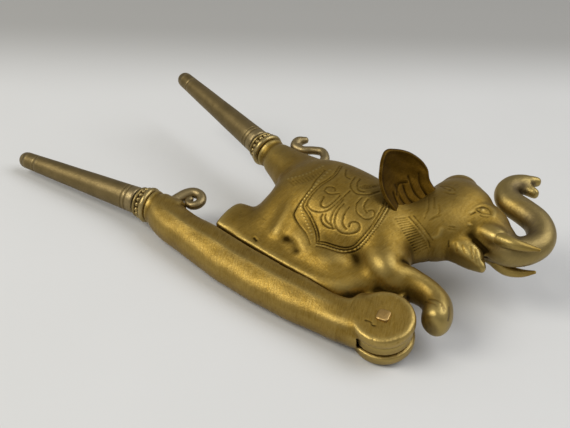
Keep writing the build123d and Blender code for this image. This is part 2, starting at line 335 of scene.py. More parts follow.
def collar_neck(which, radius):
    """Neck, cove and flange: a turned outline of radius and height that starts inside the lever."""
    outline = [(0, -14), (radius - 0.6, -14), (radius, -9), (radius - 0.2, -6.2), (radius - 1.3, -4.6),
               (radius - 1.3, -4.0), (6.5, -2.9), (6.7, -2.4), (6.6, -1.5), (6.2, -1.3), (0, -1.3)]
    return turned(outline, handle_frame(which))


# %% [markdown]
# ## The elephant lever's masses
#
# The kneeling elephant is built like a clay sketch: barrel, chest, rump, folded hind legs along the
# jaw, one pair of front legs round the rivet, neck, skull, lower jaw and trunk. Muscles such as the
# knee, the hock and the shoulder are short rolls laid on top and mirrored to the other side. Their
# overlaps don't matter, because the next step wraps one skin round them all.

# %% Elephant masses


def both_sides(stations, **settings):
    left = tube(stations, **settings)
    return [left, mirrored(left)]


masses = [
    tube([(-65.8, 39.5, 0, 8.0, 7.5), (-61, 39.0, 0, 14.4, 12.5), (-51, 38.5, 0, 19.4, 15.4),
          (-39, 37.5, 0, 20.4, 16.0), (-27, 36.5, 0, 19.0, 15.4), (-16, 34.5, 0, 15.6, 13.2),
          (-11, 32.5, 0, 11.0, 10.6), (-8.6, 31.5, 0, 7.5, 8.0)], sides=64, cap=0.2, squareness=0.86),
    tube([(-58.7, 45.7, 0, 12.5, 11.0), (-70.1, 49.7, 0, 8.6, 8.4), (-77.5, 52.3, 0, 6.9, 6.9)],
         cap=0.2),
    collar_neck("upper", 6.9),
    # folded hind legs: shin along the jaw, sole at its left end, knee, hock and thigh
    tube([(-75.6, 12.6, 0, 10.6, 5.8), (-67, 12.2, 0, 11.6, 6.1), (-54, 8.9, 0, 11.4, 6.3),
          (-37, 7.6, 0, 11.0, 6.4), (-25, 8.8, 0, 9.0, 6.3), (-17, 12.6, 0, 6.4, 6.2),
          (-11, 15.6, 0, 4.6, 5.6)],
         squareness=0.86, cap=0.1, sides=56),
    # haunch, the ridge of the hock, and the thigh that fills the way to the knee
    tube([(-55, 36, 0, 11.5, 13.4), (-57.0, 24, 0, 11.2, 10.4), (-58.0, 13, 0, 10.4, 7.0)], sides=56),
    tube([(-46, 27, 0, 15.0, 12.8), (-40, 17, 0, 12.0, 10.0), (-32, 12, 0, 9.0, 8.2)], sides=56),
]
masses += both_sides([(-34, 12.6, 3.0, 6.6, 5.2), (-29, 13.2, 3.6, 7.0, 5.2), (-24, 14.4, 3.0, 5.6, 4.6)])
masses += both_sides([(-54.0, 31, 9.4, 3.6, 4.4), (-52.0, 22, 7.8, 3.4, 4.0), (-51.5, 13, 6.0, 3.2, 3.2)])
# front legs: chest, shoulder, and one bent leg round the rivet to the hoof
leg_turns = np.radians([112, 91, 73, 57, 45, 38, 33.5])
leg_reach = 11.0 + np.array([10.5, 10.0, 10.3, 10.0, 8.2, 6.6, 5.5])
leg_sizes = [(8.2, 10.0), (5.5, 7.4), (4.9, 6.4), (5.1, 6.4), (5.4, 6.8), (5.2, 6.6), (4.4, 5.8)]
masses.append(tube(
    [(-17, 29, 0, 12.0, 12.5)]
    + [(out * np.cos(turn), out * np.sin(turn), 0, high, wide)
       for turn, out, (high, wide) in zip(leg_turns, leg_reach, leg_sizes)], sides=48, cap=0.3))
masses += both_sides([(-15.5, 25.5, 5.0, 8.0, 6.4), (-10.0, 19.6, 5.6, 6.4, 5.6),
                      (-4.5, 20.2, 2.6, 4.2, 4.2)])
# neck, skull, cheeks, lower jaw, trunk
masses.append(tube([(-17, 27, 0, 10.5, 10.5), (-15.2, 36, 0, 10.6, 10.6), (-10, 44.5, 0, 12.0, 11.1),
                    (-3.2, 52.5, 0, 14.6, 11.8), (-2.0, 61, 0, 14.8, 11.2), (-4.2, 67.5, 0, 11.6, 9.4),
                    (-6.0, 72.2, 0, 7.6, 6.4)], sides=56))
masses.append(tube([(-4, 46.5, 0, 6.6, 8.6), (3, 45.6, 0, 5.6, 7.0), (9, 44.2, 0, 4.8, 5.8),
                    (14, 42.4, 0, 3.7, 4.6), (18.4, 40.0, 0, 1.5, 2.1)], sides=40, squareness=0.85))
masses.append(tube([(4, 57.6, 0, 12.2, 9.8), (11, 56.6, 0, 11.3, 8.4), (17.5, 54.2, 0, 8.2, 6.9),
                    (23.5, 52.6, 0, 5.9, 6.0), (28.2, 55.4, 0, 5.5, 5.5), (31.0, 60.6, 0, 5.3, 5.3),
                    (30.0, 65.8, 0, 5.5, 5.1), (26.2, 70.4, 0, 5.4, 5.0), (20.2, 73.0, 0, 5.3, 4.9),
                    (13.8, 75.2, 0, 5.3, 4.7), (10.7, 79.2, 0, 4.7, 4.4), (11.4, 83.8, 0, 4.3, 4.0),
                    (14.6, 86.6, 0, 4.2, 3.6), (17.0, 87.2, 0, 4.0, 3.0)], rings=180, cap=0.15))
# two finger-like lobes at the trunk's tip, and the lip that holds each tusk
for lobe in ([(14.5, 88.2, 0, 2.4, 2.8), (17.6, 89.8, 0, 2.1, 2.5), (19.4, 90.6, 0, 1.7, 2.1)],
             [(15.0, 84.6, 0, 2.2, 2.6), (18.6, 84.2, 0, 2.2, 2.5), (21.0, 83.6, 0, 1.8, 2.2)]):
    masses.append(tube(lobe, cap=0.5))
masses += both_sides([(12.5, 53.4, 5.2, 4.0, 2.9), (16.5, 52.2, 5.8, 3.7, 2.8),
                      (19.5, 51.4, 6.3, 3.3, 2.5)], cap=0.35)
print("masses of the elephant:", len(masses))

# %% [markdown]
# ## One skin, with room for the fork and a seat for the nut
#
# The round cheeks of the lower lever turn inside a hollow in the elephant's chest, and the underside
# of the folded legs is the upper jaw. Both are cut while the skin is still coarse, and a second, finer
# wrap then rounds the cut edges as casting and filing do. More averaging smooths the flanks, and less
# of it keeps the jaw, the hollow and the trunk as they are.

# %% Elephant skin
opening = np.radians(0.5)
SEAT_POINTS = ((-78.0, 6.9), (-47.0, 2.6), (-17.0, 1.3))


def seat_cutter(lift, opening, far):
    """A block that ends on the jaws' seat: an arc of a large circle through three points, raised by
    lift, swung by opening, and closed at Y = far."""
    x = np.linspace(-82, -13, 60)
    (x1, y1), (x2, y2), (x3, y3) = SEAT_POINTS
    matrix = np.array([[2 * (x2 - x1), 2 * (y2 - y1)], [2 * (x3 - x1), 2 * (y3 - y1)]])
    right = np.array([x2**2 + y2**2 - x1**2 - y1**2, x3**2 + y3**2 - x1**2 - y1**2])
    cx, cy = np.linalg.solve(matrix, right)
    radius = np.hypot(x1 - cx, y1 - cy)
    seat = cy - np.sqrt(radius**2 - (x - cx) ** 2) + lift
    outline = np.concatenate([np.stack([x, seat], -1), [[x[-1], far], [x[0], far]]])
    turn = np.array([[np.cos(opening), np.sin(opening)], [-np.sin(opening), np.cos(opening)]])
    outline = outline @ turn.T
    middle = outline.mean(axis=0)
    rows = [(middle, -24.0), (outline, -24.0), (outline, 24.0), (middle, 24.0)]
    return np.stack([np.column_stack([np.broadcast_to(row, outline.shape), np.full(len(outline), z)])
                     for row, z in rows])


def drum(radius, low, high, sides=96):
    return turned([(0, low), (radius, low), (radius, high), (0, high)], ((0, 0, 0), (0, 0, 1)), sides)


eye = [turned([(0, -2.35), (9.9, -2.35), (10.2, -2.1), (10.2, 2.1), (9.9, 2.35), (0, 2.35)],
              ((0, 0, 0), (0, 0, 1))),
       tube([(-15, 17, 0, 7.0, 2.2), (-6, 13, 0, 7.0, 2.2), (0, 12, 0, 5.0, 2.2)], squareness=0.5, cap=0.1)]
skin = cast("elephant", masses, 0.7)
skin = combined(skin, [drum(11.6, -7.6, 7.6)])
skin = combined(skin, [seat_cutter(0.25, opening, -30)])
skin = combined(skin, eye, "UNION")
skin = modified(skin, "REMESH", mode="VOXEL", voxel_size=0.4)


def thumb_work(points):
    """How much each vertex yields to the thumb: little at the jaw's seat, the sole, the rim of the
    hollow, the lips and the trunk, and fully on the flanks."""
    x, y, z = points.T
    flank = np.clip((x + 72) / 5, 0, 1) * np.clip((-6 - x) / 8, 0, 1) * np.clip((y - 5.5) / 3, 0, 1)
    rim = np.clip((np.hypot(x, y) - 13) / 5, 0, 1)
    return 0.03 + 0.55 * flank * rim


skin = softened(softened(skin, 10), 110, thumb_work)
print("elephant skin:", len(skin.vertices), "vertices")

# %% [markdown]
# ## Engraving
#
# The chaser drew the saddle cloth, necklace, eye and toenails with a small chisel and a ring punch.
# The lines are laid out on the levers' plane and carried onto the curved sides as if seen from a point
# far off the left side, so the drawing keeps its proportions where the belly turns away. A vertex
# near a line moves inwards by a bell curve of its distance to that line, which is a real groove in
# the mesh, and the same bell curve is stored as dirt in the groove.

# %% Engraved lines
SIGHT = np.array([77.9, -150.1, 240.1])


def drawn_at(points):
    """Where a point falls on the levers' plane, seen from SIGHT, with both sides drawn alike."""
    share = SIGHT[2] / (SIGHT[2] - np.abs(points[:, 2:3]))
    return SIGHT[:2] + (points[:, :2] - SIGHT[:2]) * share


def stroke(*points, step=0.3):
    """Evenly spaced points along a smooth line through the given ones."""
    rows = np.asarray(points, float)
    dense = curve(rows, 40 * len(rows))
    length = np.concatenate([[0], np.cumsum(np.linalg.norm(np.diff(dense, axis=0), axis=1))])
    even = np.linspace(0, length[-1], max(int(length[-1] / step), 2))
    return np.stack([np.interp(even, length, dense[:, axis]) for axis in (0, 1)], axis=-1)


def beside(line, distance):
    """A parallel line: each point moved square to the line."""
    tangent = np.gradient(line, axis=0)
    tangent /= np.linalg.norm(tangent, axis=1, keepdims=True) + 1e-9
    return line + distance * np.stack([-tangent[:, 1], tangent[:, 0]], axis=-1)


def ladder(first, second, pitch, slant=0.0):
    """Short strokes between two lines, one every pitch millimetres, leaning by slant steps."""
    count = int(len(first) * 0.3 / pitch)
    share = np.linspace(0.02, 0.98, count)
    ends = [np.stack([np.interp(np.clip(share + lean, 0, 1) * (len(line) - 1), np.arange(len(line)),
                                line[:, axis]) for axis in (0, 1)], axis=-1)
            for line, lean in ((first, 0.0), (second, slant))]
    return [stroke(start, end) for start, end in zip(*ends)]


border = stroke((-53.2, 61), (-52.8, 55.9), (-53.6, 51.9), (-54.8, 48.3), (-55.3, 43.8), (-55.3, 39.7),
                (-54.8, 36.7), (-53.8, 34.4), (-49.8, 31.7), (-46.3, 28.9), (-43.2, 26.1),
                (-41.2, 23.6), (-40.0, 21.6))
outer_border = stroke((-57.0, 56), (-57.4, 49.8), (-56.8, 44.8), (-56.6, 39.7), (-56.4, 36.2),
                      (-55.8, 32.6), (-55.0, 29.6), (-53.0, 27.6), (-49.8, 25.6), (-46.3, 23.8),
                      (-43.7, 21.8), (-41.5, 19.6))
hem = stroke((-39.8, 22.4), (-36.7, 23.3), (-33.6, 23.7), (-30.6, 24.2), (-28.6, 25.1), (-27.1, 27.1),
             (-26.6, 30.2), (-26.3, 33.7), (-26.2, 37.7), (-26.4, 41.3), (-26.8, 46), (-27.6, 52),
             (-29, 57))
grooves = [
    (0.23, 0.32, [
        border, beside(border, 1.0), outer_border, hem, beside(hem, -1.15), beside(hem, -2.5),
        stroke((-41, 43.8), (-41.2, 39.7), (-40.5, 36.7), (-39.2, 33.7), (-37.2, 31.4), (-34.6, 30.2),
               (-32.1, 30.7), (-30.1, 32.2), (-29.1, 34.2), (-29.6, 36.2), (-31.1, 37.7), (-32.9, 37.5),
               (-33.7, 36), (-33.2, 34.4)),
        stroke((-42.3, 46), (-42.5, 39.7), (-41.9, 36.3), (-40.4, 32.9), (-37.8, 30.2)),
        stroke((-38.4, 43.5), (-38.3, 40.3), (-37.4, 37.2), (-36.2, 34.7), (-34.6, 33.3), (-33.5, 32.7)),
        stroke((-36.7, 50), (-36.7, 46.3), (-35.7, 43.8), (-34.1, 42), (-31.6, 41), (-29.6, 40.8),
               (-28.2, 42), (-27.8, 43.8), (-28.6, 45.6), (-30.1, 46.1), (-30.9, 45.1)),
        stroke((-34, 50.6), (-34, 47.6), (-32.9, 45.3), (-31.1, 44.0)),
        stroke((-54.3, 40.5), (-53.8, 37.2), (-52.3, 35.5), (-49.8, 34.7), (-47.3, 35.2), (-45.3, 36.7),
               (-44.2, 39.2), (-43.7, 42.3), (-43.2, 45.8), (-42.5, 51)),
        stroke((-49.8, 43.4), (-49.3, 40.8), (-48.3, 38.7), (-46.5, 38.5), (-45.5, 40.3), (-44.9, 43.4),
               (-44.6, 47)),
        stroke((-47.6, 48.1), (-48.5, 49.3), (-50.6, 49.1), (-51.6, 47.8), (-51.1, 46.1), (-48.8, 45.6),
               (-47.3, 46.3), (-45.3, 47.8)),
        stroke((-45.3, 35.2), (-44.7, 32.7), (-42.7, 30.7), (-39.7, 29.9), (-37.2, 30.7)),
        stroke((-44.3, 35.6), (-43.4, 33.6), (-41.6, 32.2), (-39.6, 31.6)),
        stroke((-44.5, 58.4), (-44.2, 54.4), (-42.7, 52.4), (-39.7, 50.9), (-37.2, 51.6), (-34.6, 53.1),
               (-32.2, 56.2)),
        stroke((-42.3, 58.6), (-41.9, 55.6), (-39.8, 53.0), (-37.2, 53.2)),
        stroke((-49.7, 60.4), (-48.3, 57.4), (-45.8, 56.7)),
    ]),
    (0.16, 0.28, ladder(stroke((-40.2, 54.4), (-37.4, 55.2), (-33.6, 58.6)),
                        stroke((-38.8, 56.6), (-36.0, 57.6), (-33.0, 60.6)), 0.95)),
    (0.15, 0.28, ladder(stroke((-66.5, 43.5), (-61.5, 49), (-57.8, 56.5)),
                        stroke((-64.2, 42.2), (-59.6, 47.8), (-56.2, 54.6)), 1.25, 0.04)),
    (0.18, 0.30, ladder(stroke((-17.2, 49.0), (-13.3, 46.7), (-8.9, 43.9), (-5.2, 41.4), (-3.0, 39.0)),
                        stroke((-20.4, 46.4), (-16.1, 43.3), (-11.7, 40), (-7.8, 37.2), (-5.4, 34.6)),
                        1.15)),
    (0.15, 0.30, [
        stroke((-16.2, 50.0), (-12.3, 47.7), (-7.9, 44.9), (-4.2, 42.4), (-2.4, 40.0)),
        stroke((-14.8, 51.2), (-10.9, 48.9), (-6.5, 46.1), (-3.0, 43.6)),
        stroke((4.0, 65.6), (5.3, 67.4), (6.9, 68.2), (8.9, 67.5), (10.0, 65.9)),
        stroke((4.0, 65.6), (5.6, 65.0), (7.4, 65.0), (10.0, 65.9)),
        stroke((3.7, 61.9), (4.6, 64.0)),
        stroke((7.0, 63.4), (8.6, 63.6), (9.9, 64.4)),
        stroke((-0.6, 52.6), (1.4, 53.3)), stroke((-0.3, 51.4), (1.7, 52.2)),
        stroke((-12.6, 70.2), (-10.8, 69.9), (-8.6, 70.0)),
        stroke((-12.8, 70.1), (-10.6, 71.3), (-8.1, 71.5), (-6.9, 70.7)),
        stroke((-9.6, 68.0), (-8.2, 68.1), (-6.4, 69.0)),
        stroke((-14.2, 62.5), (-11.6, 57.0), (-10.6, 52.0)), stroke((-12.3, 63.5), (-9.8, 58.5)),
        stroke((-9.0, 61.0), (-7.0, 57.0), (-8.2, 53.2)), stroke((-6.2, 56.2), (-8.6, 52.0)),
        stroke((2.2, 46.2), (3.4, 43.6)), stroke((5.0, 46.4), (6.9, 43.0)),
        stroke((7.4, 46.8), (9.7, 43.6)), stroke((10.2, 47.6), (13.4, 42.6)),
        stroke((12.2, 47.2), (15.4, 41.6)),
        stroke((7.8, 18.6), (9.6, 19.4), (12.4, 19.2), (14.6, 17.6)),
        stroke((7.4, 16.8), (9.8, 17.6), (11.4, 17.2)),
        stroke((15.4, 19.0), (16.6, 16.6), (17.6, 13.6)),
        stroke((12.6, 18.8), (14.6, 16.6)),
    ]),
    # The three wide strokes are the lip's fold, a pit by the sole and the crevice behind the haunch; their
    # dirt is partly painted shade in the crevice.
    (0.6, 0.9, [stroke((10.6, 50.8), (13.4, 49.6), (16.1, 48.3), (17.0, 46.4), (17.2, 44.6))]),
    (0.35, 0.6, [stroke((-61.6, 11.8), (-60.2, 11.2))]),
    (0.5, 1.7, [stroke((-50.5, 17.6), (-47.6, 17.0), (-44.6, 14.6))]),
]
beads = [
    (0.26, 0.36, [stroke((-55.4, 57), (-55.9, 51.4), (-56.2, 47.6), (-56.0, 40), (-55.4, 35.2),
                         (-52.4, 31.4), (-48.6, 28.6), (-45.4, 26.0), (-42.8, 23.2))], 1.7),
    (0.22, 0.34, [beside(hem, -1.85), stroke((-24.0, 46), (-23.6, 38), (-24.0, 30), (-25.4, 25.4))], 1.2),
    (0.22, 0.36, [stroke((-67.4, 44.8), (-62.6, 50.4), (-59.0, 57.6))], 1.5),
]
ridges = [(0.16, 0.8, [stroke((3.2, 63.2), (5.0, 68.8), (7.6, 69.6), (10.6, 68.2), (11.6, 65.6))]),
          (0.18, 0.9, [stroke((-2.6, 50.2), (-2.0, 47.0), (-3.4, 44.6)), stroke((-8.4, 45.2), (-5.6, 43.4)),
                       stroke((11.0, 49.0), (13.8, 47.0), (14.8, 44.0))]),
          (0.25, 0.7, [stroke((6.4, 66.5), (6.5, 66.6)), stroke((5.4, 57.2), (5.6, 57.3))])]


def nearness(places, line, width):
    """A bell curve of the distance from each place to the nearest point of the line."""
    result = np.zeros(len(places))
    low, high = line.min(axis=0) - 3 * width, line.max(axis=0) + 3 * width
    close = np.flatnonzero(np.all((places > low) & (places < high), axis=1))
    if len(close):
        step = places[close][:, None, :] - line[None, :, :]
        distance = np.sqrt((step ** 2).sum(axis=-1).min(axis=1))
        result[close] = np.exp(-((distance / width) ** 2))
    return result


def engraving(points, normals):
    """How far each vertex moves out, negative in a groove, and how much dirt lies there."""
    places = drawn_at(points)
    facing = np.clip((np.abs(normals[:, 2]) - 0.12) / 0.2, 0, 1)
    height = np.zeros(len(points))
    dirt_and_shade = np.zeros(len(points))
    for depth, width, lines in grooves:
        for line in lines:
            near = nearness(places, line, width)
            height = np.minimum(height, -depth * near)
            dirt_and_shade = np.maximum(dirt_and_shade, near * min(1, 0.34 / width))
    for rise, width, lines, pitch in beads:
        for line in lines:
            row = line[::max(int(round(pitch / 0.3)), 1)]
            near = nearness(places, row, width)
            height += rise * near
            dirt_and_shade -= 0.5 * near
    for rise, width, lines in ridges:
        for line in lines:
            height += rise * nearness(places, line, width)
    return height * facing, dirt_and_shade * facing


points, edges, normals = read(skin)
height, dirt_and_shade = engraving(points, normals)
write(skin, points + normals * height[:, None])
print("deepest groove", round(float(height.min()), 2), "mm, highest bead", round(float(height.max()), 2))

# %% [markdown]
# ## Head and body part at the necklace
#
# The real lever is one casting, and the model keeps the head as its own part. A plane under the
# necklace splits the finished skin, each half is closed by a flat face, and the split edge is marked
# sharp so that the shading runs on over the joint.

# %% Head and body


def half(mesh, side):
    """The part of the mesh on one side of the neck's plane, closed by a face on the plane."""
    work = bmesh.new()
    work.from_mesh(mesh)
    normal = Vector((0.63, 0.777, 0)).normalized()
    found = bmesh.ops.bisect_plane(work, geom=work.verts[:] + work.edges[:] + work.faces[:],
                                   plane_co=(-10, 38.7, 0), plane_no=normal,
                                   clear_outer=side < 0, clear_inner=side > 0)
    rim = [item for item in found["geom_cut"] if isinstance(item, bmesh.types.BMEdge)]
    for edge in rim:
        edge.smooth = False
    bmesh.ops.triangle_fill(work, edges=rim, use_beauty=True, use_dissolve=False, normal=normal * -side)
    loose = [vertex for vertex in work.verts if not vertex.link_faces]
    bmesh.ops.delete(work, geom=loose, context="VERTS")
    result = bpy.data.meshes.new("half")
    work.to_mesh(result)
    work.free()
    return result


seat_x, seat_y = (-78, -62, -47, -32, -17), (6.9, 4.4, 2.6, 1.6, 1.3)
above_seat = points[:, 1] - np.interp(points[:, 0], seat_x, seat_y)
# Painted shade: a dark band just above the seat, where the folded legs lie on the lower lever, added to the
# hollowness.
seat_painted_shade = 0.75 * np.exp(-(np.clip(above_seat - 0.4, 0, 9) / 1.3) ** 2) * (points[:, 0] < -14)
mark_wear(skin, dirt_and_shade=0.22 * dirt_and_shade + seat_painted_shade, fine=0.12, broad=0.45)
trunk_share = np.clip((points[:, 0] - 12) / 14, 0, 1)
trunk_share = np.maximum(trunk_share, np.clip((points[:, 1] - 70) / 5, 0, 1)
                         * np.clip((points[:, 0] - 6) / 4, 0, 1))
# Painted shade: the hoof is greyed to dull its highlight, with the same grey as the trunk.
hoof_painted_shade = 0.55 * np.exp(-((points[:, 0] - 17) ** 2 + (points[:, 1] - 10) ** 2) / 50)
mark(skin, "tarnish_and_shade", trunk_share * trunk_share * (3 - 2 * trunk_share) + hoof_painted_shade)
pieces = [add_piece("cast_elephant_body", half(skin, -1), UPPER, "cast_brass", ["elephant_body"]),
          add_piece("cast_elephant_head", half(skin, 1), UPPER, "cast_brass", ["elephant_head"])]
bpy.data.meshes.remove(skin)

# %% [markdown]
# ## The lower lever
#
# A plain bar with a soft ridge filed along each side, swelling into two round cheeks. The bar is again
# an oval along a line, a little boxy so that the cut seat is wide, with a low crest along each side.
# A flat-sided roll blends it into the cheeks, and averaging softens that joint. The cheeks are
# turned discs, the slot between them is cut for the elephant's eye, and the seat for the nut is the
# same arc that shaped the elephant's legs. The rim of the left cheek has been knocked and filed, so
# its edge is eaten back by a few waves of different length.

# %% Lower lever
cheek = [(0, 2.8), (10.5, 2.8), (10.95, 3.2), (11.0, 4.6), (10.95, 6.0), (10.6, 6.65), (10.1, 6.95),
         (9.7, 7.0), (0, 7.0)]
far_cheek = [(radius, -height) for radius, height in cheek[::-1]]
lever_line = [(-102.6, 6.1, 0, 6.6, 6.4), (-96, 3.2, 0, 7.4, 6.7), (-84, 0.9, 0, 7.7, 6.9),
              (-72, -0.2, 0, 8.9, 7.0), (-60, -1.9, 0, 9.2, 7.1), (-40, -3.3, 0, 9.2, 7.1),
              (-25, -3.7, 0, 8.6, 7.05), (-15, -3.7, 0, 8.0, 7.0), (-7, -3.2, 0, 8.0, 6.9)]
axle = ((0, 0, 0), (0, 0, 1))
blend_in = tube([(-31, -4.9, 0, 5.0, 5.4), (-22, -4.8, 0, 6.4, 6.5), (-15, -3.5, 0, 7.8, 7.0),
                 (-8, -1.2, 0, 9.4, 7.0), (-2, 0, 0, 10.2, 6.95)], squareness=0.55, cap=0.1, sides=56)
lever = cast("lever", [tube(lever_line, squareness=0.88, sides=64, rings=120), blend_in,
                       turned(cheek, axle, 120), turned(far_cheek, axle, 120),
                       collar_neck("lower", 6.4)], 0.5)
lever = combined(lever, [seat_cutter(0.0, 0.0, 60)])
lever = combined(lever, [drum(11.15, -2.8, 2.8)])
lever = softened(modified(lever, "REMESH", mode="VOXEL", voxel_size=0.38), 6)


def joint_work(points):
    """Half a share where the bar meets the cheeks, by a bell curve along X, and none in the slot."""
    return 0.5 * np.exp(-(((points[:, 0] + 17) / 6.5) ** 2)) * (np.abs(points[:, 2]) > 3.4)


lever = softened(lever, 90, joint_work)
points, edges, normals = read(lever)
turn = np.arctan2(points[:, 1], points[:, 0])
reach = np.hypot(points[:, 0], points[:, 1])
rim = np.exp(-(((reach - 10.6) / 1.0) ** 2)) * (points[:, 2] > 5.4) * (points[:, 0] > -8)
knocks = np.clip(np.sin(7 * turn + 0.6) + 0.8 * np.sin(17 * turn) + 0.6 * np.sin(31 * turn + 1), 0, 3)
worn_side = np.clip(np.cos(turn + 0.75), 0, 1)
bite = 0.13 * rim * knocks * worn_side
scratch = stroke((-4.4, -4.6), (-2.6, -4.3), (-1.4, -5.2), (-0.4, -4.9))
bite = bite + 0.25 * nearness(points[:, :2], scratch, 0.35) * (points[:, 2] > 6)
waves = 0.10 * np.sin(points[:, 0] * 0.35) * np.sin(points[:, 1] * 0.5 + 1) * (points[:, 0] < -12)
middle_line = np.interp(points[:, 0], *np.array(lever_line)[:, :2].T)
crest = 0.4 * np.exp(-((np.abs(points[:, 1] - middle_line + 0.6) / 1.9) ** 1.4))
crest *= np.abs(points[:, 2]) > 4
crest *= np.clip((-13 - points[:, 0]) / 12, 0, 1) * np.clip((points[:, 0] + 100) / 8, 0, 1)
write(lever, points + normals * (waves + crest - bite)[:, None])
mark_wear(lever, fine=0.10, broad=0.35, rounds=30)
# Painted shade, partly patina: the far cheek and the lower half of the bar by the rivet, which face the
# table, are greyed.
mark(lever, "tarnish_and_shade", 0.8 * (points[:, 2] < -1) * np.clip((points[:, 0] + 18) / 6, 0, 1))
pieces.append(add_piece("cast_lower_lever", lever, LOWER, "cast_brass", ["lower_lever"]))

# %% [markdown]
# ## The rivet
#
# One piece of rod with a squarish head filed on the left and a hammered dome on the right. The head's
# outline is a superellipse: the radius is the half width over the fourth-power mean of cosine and
# sine, which is between a circle and a square.

# %% Rivet


def squarish(half_width, power, turn_deg, levels):
    """Rings of a superellipse: each level is a share of the half width and a height."""
    angle = np.linspace(0, 2 * np.pi, 64, endpoint=False)
    radius = half_width / (np.abs(np.cos(angle)) ** power + np.abs(np.sin(angle)) ** power) ** (1 / power)
    angle = angle + np.radians(turn_deg)
    rows = np.asarray(levels)
    ring = np.stack([radius * np.cos(angle), radius * np.sin(angle)], axis=-1)
    flat = rows[:, 0, None, None] * ring
    return np.concatenate([flat, np.broadcast_to(rows[:, 1, None, None], flat.shape[:2] + (1,))], axis=-1)


head = squarish(2.3, 4.2, 8, [(0, 6.4), (1, 6.4), (1.0, 7.35), (0.95, 7.6), (0.86, 7.72), (0.5, 7.78),
                               (0, 7.8)])
head[..., 2] += 0.05 * head[..., 0] * (head[..., 2] > 7.2)
shank = turned([(0, -7.2), (2.9, -7.2), (2.9, 6.8), (0, 6.8)], axle)
dome = turned([(0, -7.98), (1.4, -7.94), (2.6, -7.74), (3.4, -7.4), (3.85, -7.02), (3.8, -6.9),
               (0, -6.9)], axle)
rivet_mesh = modified(grid_mesh("rivet", [head, shank, dome]), "SUBSURF", levels=1, render_levels=1)
mark_wear(rivet_mesh, broad=0.2, rounds=6)
pieces.append(add_piece("filed_rivet", rivet_mesh, LOWER, "rivet_copper_brass", ["pivot_rivet"], sharp=50))

# %% [markdown]
# ## Ears
#
# Each ear is a leaf that stands out from the head, dished to the front, with a rolled rim and a few
# chiselled veins near its root. The leaf is a polar grid: the first parameter runs from the middle of
# the front over the rim to the middle of the back, the second goes round the outline.

# %% Ears
ear_origin = np.array([-11.5, 51.0, 7.0])
ear_u = np.array([0.233, 0.972, 0.0]) / np.hypot(0.233, 0.972)
ear_w = np.array([0.680, -0.163, 0.714])
ear_w /= np.linalg.norm(ear_w)
ear_v = np.cross(ear_w, ear_u)
leaf = np.array([(-12, -3), (-13.2, 5), (-13.2, 12), (-11.2, 17.4), (-7.2, 22.1), (-3.4, 25.0),
                 (-0.8, 25.4), (1.8, 24.3), (5.6, 21.7), (8.8, 18.3), (10.9, 14.0), (11.2, 9.8),
                 (9.4, 6.2), (8.7, 1.5), (8.4, -3.5), (0, -5.5)])
ear_lines = [stroke((-8.6, 2.0), (-9.4, 6.5), (-8.0, 11.0)), stroke((-5.6, 1.5), (-6.6, 6.5), (-5.0, 12.5)),
             stroke((-2.6, 1.5), (-3.4, 6.0), (-1.6, 11.5)), stroke((0.8, 1.5), (0.4, 6.0), (2.2, 12.0)),
             stroke((3.8, 2.0), (4.4, 6.5), (6.6, 10.5)), stroke((-7.2, 9.5), (-3.5, 12.0), (0.5, 10.5))]


def ear_grid():
    """The leaf point at a share of the way from the leaf's middle to its outline. Height over the
    leaf's plane is the dish, a piece of a ball, plus or minus half the thickness, which closes at the
    rim like a rounded edge and swells just inside it into a roll."""
    middle = np.array([-0.5, 10.0])
    ring = curve(np.vstack([leaf, leaf[:1]]), 161)[:-1] - middle
    over = np.linspace(0, np.pi, 90)
    share = np.sin(over)
    front = np.where(over < np.pi / 2, 1.0, -1.0)
    flat = middle + share[:, None, None] * ring[None]
    thick = np.sqrt(np.clip(1 - share ** 10, 0, 1))
    roll = 0.25 * np.exp(-(((share - 0.93) / 0.045) ** 2)) * (front > 0)
    u, v = flat[..., 0], flat[..., 1]
    ball = 36.0 - np.sqrt(36.0**2 - (u - 2) ** 2 - (v - 12) ** 2) - 1.4
    height = ball + (front * thick * 0.95)[:, None] + roll[:, None] * np.clip((v - 3) / 4, 0, 1)
    veins = np.zeros(u.shape)
    for line in ear_lines:
        veins = np.maximum(veins, nearness(flat.reshape(-1, 2), line, 0.42).reshape(u.shape))
    height = height - 0.28 * veins * (front > 0)[:, None]
    height = height + 0.12 * np.sin(0.9 * u + 0.4 * v) * np.sin(0.35 * v + 1)
    grid = (ear_origin + u[..., None] * ear_u + v[..., None] * ear_v + height[..., None] * ear_w)
    return grid, veins * (front > 0)[:, None]


leaf_grid, veins = ear_grid()
for side, grid in (("left", leaf_grid), ("right", mirrored(leaf_grid))):
    ear = grid_mesh("ear", [grid])
    mark_wear(ear, fine=0.12, broad=0.6, rounds=20)
    pieces.append(add_piece(f"{side}_ear_leaf", ear, UPPER, "cast_brass", [f"{side}_ear"]))

# %% [markdown]
# ## Tusks, tail and scroll
#
# Short tapered horns stand in the lips, a wire tail curls over the rump, and a wire scroll sits on the
# lower lever where a thumb finds it. They are brazed on, so they start inside the metal they grow
# from.

# %% Horns and wire
tusk = tube([(15.5, 52.3, 4.6, 2.5, 2.5), (20, 50.6, 6.5, 2.5, 2.4), (24.5, 49.9, 7.5, 2.15, 2.1),
             (29.5, 50.9, 7.2, 1.5, 1.5), (33.6, 52.8, 6.2, 0.6, 0.6)], sides=40, rings=70, squareness=0.95)
for side, grid in (("left", tusk), ("right", mirrored(tusk))):
    horn = grid_mesh("tusk", [grid])
    mark_wear(horn, broad=0.3, rounds=10)
    pieces.append(add_piece(f"{side}_tusk_horn", horn, UPPER, "cast_brass", [f"{side}_tusk"]))


def wire(points, radii, **settings):
    return tube([(x, y, 0, radius, radius) for (x, y), radius in zip(points, radii)], **settings)


